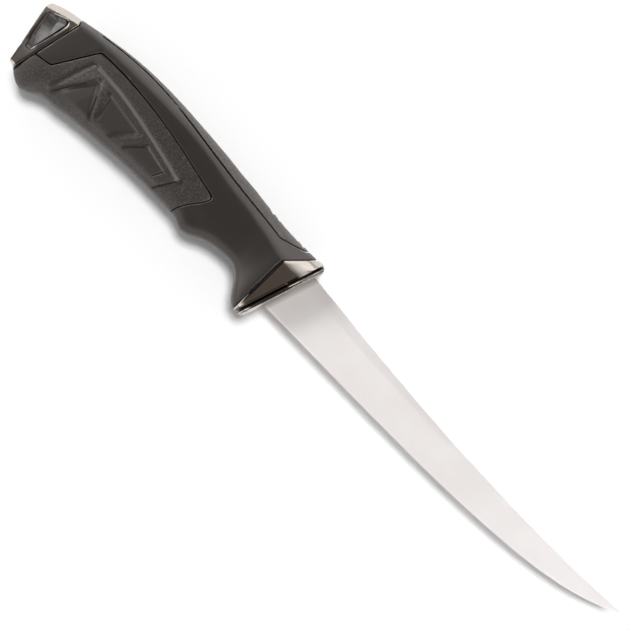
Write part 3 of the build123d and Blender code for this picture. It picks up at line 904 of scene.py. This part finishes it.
for node in ("core_right", "core_left"):
    half = working_copy(node, node + "_moulding")
    soften(half, CORE_GRAIN, CORE_PASSES)
    ease(half, CORE_RIDGE_PASSES, core_ridge)
    press(half, core_dent)
    mark(half, "crown_painted_light", core_painted_light_share)
    stand_for(half, node, core_plastic)

grip = working_copy("belly_grip", "belly_grip_moulding")
soften(grip, GRIP_GRAIN, PASSES)
ease(grip, FACET_PASSES, facet_quiet)
press(grip, pad_slope)
ease(grip, PAD_REAR_PASSES, pad_rear)
ease(grip, PAD_EDGE_PASSES, pad_edge)
mark(grip, "plain", facet_plain)
mark(grip, "painted_highlight_weight", facet_painted_highlight)
mark(grip, "painted_shade_weight", facet_crease_and_painted_shade)
stand_for(grip, "belly_grip", soft_grip)

strip = working_copy("spine_strip", "spine_strip_moulding")
soften(strip, STRIP_GRAIN, PASSES)
stand_for(strip, "spine_strip", strip_rubber)

bolster = working_copy("bolster", "bolster_casting")
soften(bolster, METAL_GRAIN, PASSES)
ease(bolster, BOLSTER_RIDGE_PASSES, bolster_ridge)
mark(bolster, "painted_shade_weight", lip_shade)
stand_for(bolster, "bolster", gunmetal)

pommel = working_copy("pommel_cap", "pommel_casting")
soften(pommel, METAL_GRAIN, PASSES)
fill_out(pommel)
mark(pommel, "bored", hole_wall)
mark(pommel, "painted_shade_weight", hole_shade)
stand_for(pommel, "pommel_cap", gunmetal)

blade = make_blade()
stand_for(blade, "blade", blade_steel)

for node in ("tang_rivets", "pommel_pin"):
    nodes[node].data.materials.clear()
    nodes[node].data.materials.append(fastener_steel)

# Floor, light and camera

STUDIO_RADIUS = 4.0
STUDIO_WALL_HEIGHT = 5.2
STUDIO_SIDES = 96
FLOOR_COLOR = (0.90, 0.90, 0.90, 1)
FLOOR_ROUGHNESS = 0.9
FLOOR_SPECULAR = 0.1
FLOOR_LIFT = 0.05
# What reflections see of the wall: it is dim up to the first height, bright at the second, and falls
# from there to the ceiling's level at the top
WALL_DIM_UP_TO = 0.7
WALL_BRIGHT_FROM = 1.6
WALL_FOOT_SHARE = 0.3
WALL_LEVEL = 1.5
CEILING_COLOR = (1.0, 0.82, 0.72, 1)
CEILING_LEVEL = 0.086
# How brightly the wall and the ceiling light matte surfaces
AMBIENT_LEVEL = 0.31
# How far each sun stands from straight overhead and how wide it is, in degrees
KEY_TILT = 13
KEY_SPREAD = 14
KEY_STRENGTH = 2.5
SHEEN_TILT = 60
SHEEN_SPREAD = 20
SHEEN_STRENGTH = 1.75
CAMERA_DISTANCE = 0.500
CAMERA_NEAR = 0.01
# How far the camera is turned, in degrees
CAMERA_TURN = 44.2
VIEW_WIDTH = 208.6 * MM
# Where the camera looks, in millimetres in the knife's own frame
VIEW_MIDDLE = (11.5, 0.3)
# The sensor's width in the camera's own millimetres
SENSOR_WIDTH = 36.0


def ray_share(tree, *rays):
    """One for the rays of these kinds, and zero for the others."""
    path = tree.nodes.new("ShaderNodeLightPath")
    seen = path.outputs[rays[0]]
    for ray in rays[1:]:
        either = tree.nodes.new("ShaderNodeMath")
        either.operation = "MAXIMUM"
        tree.links.new(seen, either.inputs[0])
        tree.links.new(path.outputs[ray], either.inputs[1])
        seen = either.outputs[0]
    return seen


def mixed_level(tree, share, low, high):
    """The low value where the share is zero and the high one where it is one."""
    level = tree.nodes.new("ShaderNodeMix")
    for value, socket in ((low, level.inputs["A"]), (high, level.inputs["B"])):
        if isinstance(value, (int, float)):
            socket.default_value = value
        else:
            tree.links.new(value, socket)
    tree.links.new(share, level.inputs["Factor"])
    return level.outputs["Result"]


def make_floor():
    """A white floor, a little brighter to the camera and to reflections."""
    bpy.ops.mesh.primitive_circle_add(
        vertices=STUDIO_SIDES, radius=STUDIO_RADIUS, fill_type="NGON", location=(0, 0, 0)
    )
    floor = bpy.context.object
    floor.name = "floor"
    finish = Finish("floor_white", FLOOR_COLOR, specular=FLOOR_SPECULAR)
    finish.shader.inputs["Roughness"].default_value = FLOOR_ROUGHNESS
    finish.shader.inputs["Emission Color"].default_value = (1, 1, 1, 1)
    seen = ray_share(finish.tree, "Is Camera Ray", "Is Glossy Ray", "Is Transmission Ray")
    finish.drive("Emission Strength", mixed_level(finish.tree, seen, 0.0, FLOOR_LIFT))
    floor.data.materials.append(finish.material)


def make_wall():
    """A tall white tent, open at the top, which reflections see darken towards its top and foot."""
    bpy.ops.mesh.primitive_cylinder_add(
        vertices=STUDIO_SIDES,
        radius=STUDIO_RADIUS,
        depth=STUDIO_WALL_HEIGHT,
        end_fill_type="NOTHING",
        location=(0, 0, STUDIO_WALL_HEIGHT / 2),
    )
    wall = bpy.context.object
    wall.name = "studio_wall"
    wall.visible_shadow = False
    finish = Finish("wall_white", FLOOR_COLOR)
    split = finish.node("ShaderNodeSeparateXYZ")
    finish.link(finish.object_place, split.inputs["Vector"])
    height = split.outputs["Z"]
    top = STUDIO_WALL_HEIGHT / 2
    bright = WALL_BRIGHT_FROM - top
    upper = finish.ramp(height, bright, top, WALL_LEVEL, CEILING_LEVEL)
    lower = finish.ramp(height, WALL_DIM_UP_TO - top, bright, WALL_FOOT_SHARE, 1.0)
    shade = finish.scaled(upper, lower)
    glossy = ray_share(finish.tree, "Is Glossy Ray", "Is Transmission Ray")
    camera = ray_share(finish.tree, "Is Camera Ray")
    level = mixed_level(finish.tree, glossy, AMBIENT_LEVEL, shade)
    glow = finish.node("ShaderNodeEmission")
    finish.link(mixed_level(finish.tree, camera, level, 1.0), glow.inputs["Strength"])
    finish.link(glow.outputs["Emission"], finish.tree.nodes["Material Output"].inputs["Surface"])
    wall.data.materials.append(finish.material)


def make_ceiling():
    """The world above the tent, which reflections see dark and warm."""
    world = bpy.data.worlds.new("studio_ceiling")
    bpy.context.scene.world = world
    world.use_nodes = True
    tree = world.node_tree
    background = tree.nodes["Background"]
    glossy = ray_share(tree, "Is Glossy Ray")
    tint = tree.nodes.new("ShaderNodeMix")
    tint.data_type = "RGBA"
    tint.inputs[MIX_FIRST].default_value = (1, 1, 1, 1)
    tint.inputs[MIX_SECOND].default_value = CEILING_COLOR
    tree.links.new(glossy, tint.inputs["Factor"])
    tree.links.new(tint.outputs[MIX_RESULT], background.inputs["Color"])
    level = mixed_level(tree, glossy, AMBIENT_LEVEL, CEILING_LEVEL)
    tree.links.new(level, background.inputs["Strength"])


def make_sun(name, strength, spread, turn):
    """A soft sun, turned away from straight overhead."""
    lamp = bpy.data.lights.new(name, "SUN")
    lamp.energy = strength
    lamp.angle = math.radians(spread)
    sun = bpy.data.objects.new(name, lamp)
    bpy.context.scene.collection.objects.link(sun)
    sun.rotation_euler = turn
    return sun


def make_lights():
    """One sun from above, and one beyond each end of the knife that only reflections see."""
    key = make_sun("key_light", KEY_STRENGTH, KEY_SPREAD, (-math.radians(KEY_TILT), 0, 0))
    key.visible_glossy = False
    for end in (-1, 1):
        turn = (0, end * math.radians(SHEEN_TILT), 0)
        sheen = make_sun("sheen_light", SHEEN_STRENGTH, SHEEN_SPREAD, turn)
        sheen.visible_diffuse = False


def make_camera():
    """A camera straight above the knife, turned so that the knife lies from corner to corner."""
    lens = bpy.data.cameras.new("camera")
    lens.sensor_width = SENSOR_WIDTH
    lens.lens = SENSOR_WIDTH * CAMERA_DISTANCE / VIEW_WIDTH
    lens.clip_start = CAMERA_NEAR
    camera = bpy.data.objects.new("camera", lens)
    bpy.context.scene.collection.objects.link(camera)
    camera.location = place(*VIEW_MIDDLE, CAMERA_DISTANCE / MM)
    camera.rotation_euler = (0, 0, math.radians(CAMERA_TURN))
    bpy.context.scene.camera = camera


make_floor()
make_wall()
make_ceiling()
make_lights()
make_camera()
bpy.context.scene.view_settings.view_transform = "Standard"
